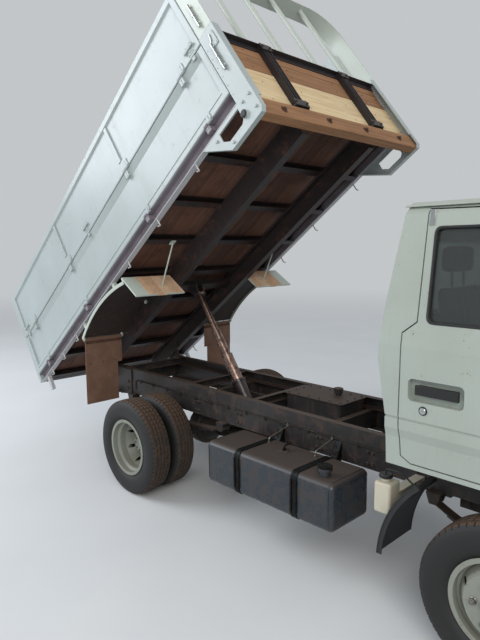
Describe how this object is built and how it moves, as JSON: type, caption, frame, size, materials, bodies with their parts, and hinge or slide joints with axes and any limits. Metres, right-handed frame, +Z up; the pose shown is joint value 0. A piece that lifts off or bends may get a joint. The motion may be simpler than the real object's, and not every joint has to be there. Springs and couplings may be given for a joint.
{
  "type": "light tipper truck with a raised drop-side bed",
  "caption": "Light forward-control tipper truck with a raised steel drop-side bed, cylinder lift, opening doors, tilting cab and steered wheels.",
  "frame": {"origin": "on the ground under the middle of the whole truck's box, with the bed raised", "axes": "+X forward, +Y to the truck's left, +Z up"},
  "size_m": [5.9102, 2.06, 3.7866],
  "materials": {
    "cab_paint": "semi-gloss enamel, dusty",
    "bed_paint": "semi-gloss enamel, dusty and worn",
    "rack_paint": "semi-gloss enamel",
    "chassis_paint": "weathered chassis enamel with dry mud",
    "underbody_paint": "weathered dark enamel with rust",
    "dark_steel": "worn dark enamel",
    "running_gear": "dull black enamel, dusty",
    "engine_iron": "as cast, oily",
    "tank_paint": "satin enamel, dusty",
    "strap_steel": "dull zinc plating",
    "exhaust_steel": "rusty",
    "black_plastic": "moulded, matte",
    "guard_plastic": "moulded, matte",
    "bottle_plastic": "translucent moulding, aged",
    "bumper_paint": "satin enamel",
    "lamp_amber": "moulded lens",
    "lamp_red": "moulded lens",
    "lamp_clear": "moulded lens",
    "radiator_metal": "finned, dusty",
    "glass": "clear safety glass",
    "seat_cloth": "woven cloth, worn",
    "trim_plastic": "moulded, grained",
    "floor_wood": "worn planks",
    "wall_wood": "weathered planks",
    "flap_rubber": "dusty rubber sheet",
    "ram_paint": "oily enamel",
    "ram_steel": "ground steel with old oil",
    "rim_paint": "silver enamel, dusty",
    "tyre": "worn road tyre"
  },
  "bodies": {
    "chassis": {"chassis_frame": "chassis_paint", "cross_members": "chassis_paint", "tip_subframe": "chassis_paint", "front_axle": "running_gear", "leaf_springs": "running_gear", "rear_axle": "running_gear", "engine_block": "engine_iron", "driveline": "engine_iron", "fuel_tank": "tank_paint", "tank_straps": "strap_steel", "oil_tank": "chassis_paint", "exhaust": "exhaust_steel", "battery_box": "black_plastic", "front_bumper": "bumper_paint", "bumper_lamps": "lamp_amber", "rear_lamps": "lamp_red", "front_mudguards": "guard_plastic", "washer_bottle": "bottle_plastic", "radiator": "radiator_metal"},
    "cab": {"cab_shell": "cab_paint", "cab_glass": "glass", "seats": "seat_cloth", "dashboard": "trim_plastic", "grille": "trim_plastic", "headlamps": "lamp_clear", "mirrors": "trim_plastic"},
    "left_door": {"door_left": "cab_paint", "door_glass_left": "glass"},
    "right_door": {"door_right": "cab_paint", "door_glass_right": "glass"},
    "bed": {"bed_frame": "underbody_paint", "bed_cross_members": "underbody_paint", "bed_floor": "floor_wood", "corner_posts": "bed_paint", "front_wall": "wall_wood", "wall_frame": "dark_steel", "guard_rack": "rack_paint", "rear_mudguards": "rack_paint"},
    "lower_side_left": {"side_lower_left": "bed_paint"},
    "lower_side_right": {"side_lower_right": "bed_paint"},
    "upper_side_left": {"side_upper_left": "bed_paint"},
    "upper_side_right": {"side_upper_right": "bed_paint"},
    "gate": {"tailgate": "bed_paint"},
    "left_flap": {"flap_left": "flap_rubber"},
    "right_flap": {"flap_right": "flap_rubber"},
    "barrel": {"ram_barrel": "ram_paint"},
    "stage_1": {"ram_stage_1": "ram_steel"},
    "stage_2": {"ram_stage_2": "ram_steel"},
    "rod": {"ram_rod": "ram_steel"},
    "left_knuckle": {"knuckle_left": "running_gear"},
    "right_knuckle": {"knuckle_right": "running_gear"},
    "track_rod": {"tie_rod": "running_gear"},
    "front_wheel_left": {"front_rim_left": "rim_paint", "front_tyre_left": "tyre"},
    "front_wheel_right": {"front_rim_right": "rim_paint", "front_tyre_right": "tyre"},
    "rear_wheels_left": {"rear_rims_left": "rim_paint", "rear_tyres_left": "tyre"},
    "rear_wheels_right": {"rear_rims_right": "rim_paint", "rear_tyres_right": "tyre"}
  },
  "joints": [
    {"name": "bed_tip", "type": "hinge", "parent": "chassis", "child": "bed", "pos_m": [-1.80486, 0, 0.751], "axis": [0, -1, 0], "range_deg": [-37.2, 0]},
    {"name": "ram_swing", "type": "hinge", "parent": "chassis", "child": "barrel", "pos_m": [-0.35986, 0, 0.62], "axis": [0, -1, 0], "range_deg": [0, 18.6]},
    {"name": "ram_slide_1", "type": "slide", "parent": "barrel", "child": "stage_1", "axis": [-0.5704, 0, 0.8214], "range_m": [-0.2287, 0]},
    {"name": "ram_slide_2", "type": "slide", "parent": "stage_1", "child": "stage_2", "axis": [-0.5704, 0, 0.8214], "range_m": [-0.2287, 0]},
    {"name": "ram_slide_3", "type": "slide", "parent": "stage_2", "child": "rod", "axis": [-0.5704, 0, 0.8214], "range_m": [-0.2287, 0]},
    {"name": "flap_left_swing", "type": "hinge", "parent": "bed", "child": "left_flap", "pos_m": [-1.48558, 0.65, 1.15405], "axis": [0, -1, 0], "range_deg": [0, 37.3]},
    {"name": "flap_right_swing", "type": "hinge", "parent": "bed", "child": "right_flap", "pos_m": [-1.48558, -0.65, 1.15405], "axis": [0, -1, 0], "range_deg": [0, 37.3]},
    {"name": "lower_side_left_drop", "type": "hinge", "parent": "bed", "child": "lower_side_left", "pos_m": [-1.01498, 0.852, 1.74477], "axis": [0.7965, 0, 0.6046], "range_deg": [-165, 0]},
    {"name": "upper_side_left_fold", "type": "hinge", "parent": "lower_side_left", "child": "upper_side_left", "pos_m": [-1.26044, 0.852, 2.06816], "axis": [-0.7965, 0, -0.6046], "range_deg": [0, 165]},
    {"name": "lower_side_right_drop", "type": "hinge", "parent": "bed", "child": "lower_side_right", "pos_m": [-1.01498, -0.852, 1.74477], "axis": [-0.7965, 0, -0.6046], "range_deg": [-165, 0]},
    {"name": "upper_side_right_fold", "type": "hinge", "parent": "lower_side_right", "child": "upper_side_right", "pos_m": [-1.26044, -0.852, 2.06816], "axis": [0.7965, 0, 0.6046], "range_deg": [0, 165]},
    {"name": "gate_swing", "type": "hinge", "parent": "bed", "child": "gate", "pos_m": [-2.93635, 0, 1.42129], "axis": [0, 1, 0], "range_deg": [0, 75]},
    {"name": "door_left_swing", "type": "hinge", "parent": "cab", "child": "left_door", "pos_m": [2.57914, 0.815, 1.2], "axis": [0, 0, 1], "range_deg": [-65, 0]},
    {"name": "door_right_swing", "type": "hinge", "parent": "cab", "child": "right_door", "pos_m": [2.57914, -0.815, 1.2], "axis": [0, 0, -1], "range_deg": [-65, 0]},
    {"name": "cab_tilt", "type": "hinge", "parent": "chassis", "child": "cab", "pos_m": [2.78514, 0, 0.69], "axis": [0, 1, 0], "range_deg": [0, 40]},
    {"name": "steer_left", "type": "hinge", "parent": "chassis", "child": "left_knuckle", "pos_m": [1.89514, 0.61, 0.368], "axis": [0, 0, 1], "range_deg": [-33, 33]},
    {"name": "steer_right", "type": "hinge", "parent": "chassis", "child": "right_knuckle", "pos_m": [1.89514, -0.61, 0.368], "axis": [0, 0, 1], "range_deg": [-33, 33]},
    {"name": "track_rod_slide", "type": "slide", "parent": "chassis", "child": "track_rod", "axis": [0, 1, 0], "range_m": [-0.09, 0.09]},
    {"name": "front_wheel_left_spin", "type": "hinge", "parent": "left_knuckle", "child": "front_wheel_left", "pos_m": [1.89514, 0.707, 0.368], "axis": [0, 1, 0], "continuous": true},
    {"name": "front_wheel_right_spin", "type": "hinge", "parent": "right_knuckle", "child": "front_wheel_right", "pos_m": [1.89514, -0.707, 0.368], "axis": [0, 1, 0], "continuous": true},
    {"name": "rear_wheels_left_spin", "type": "hinge", "parent": "chassis", "child": "rear_wheels_left", "pos_m": [-0.90486, 0.6305, 0.368], "axis": [0, 1, 0], "continuous": true},
    {"name": "rear_wheels_right_spin", "type": "hinge", "parent": "chassis", "child": "rear_wheels_right", "pos_m": [-0.90486, -0.6305, 0.368], "axis": [0, 1, 0], "continuous": true}
  ],
  "couplings": [
    {"joint": "ram_swing", "follows": "bed_tip", "ratio": -0.49413},
    {"joint": "ram_slide_1", "follows": "bed_tip", "m_per_rad": 0.35136},
    {"joint": "ram_slide_2", "follows": "bed_tip", "m_per_rad": 0.35136},
    {"joint": "ram_slide_3", "follows": "bed_tip", "m_per_rad": 0.35136},
    {"joint": "flap_left_swing", "follows": "bed_tip", "ratio": -1},
    {"joint": "flap_right_swing", "follows": "bed_tip", "ratio": -1},
    {"joint": "steer_right", "follows": "steer_left", "ratio": 1},
    {"joint": "track_rod_slide", "follows": "steer_left", "m_per_rad": -0.15}
  ]
}
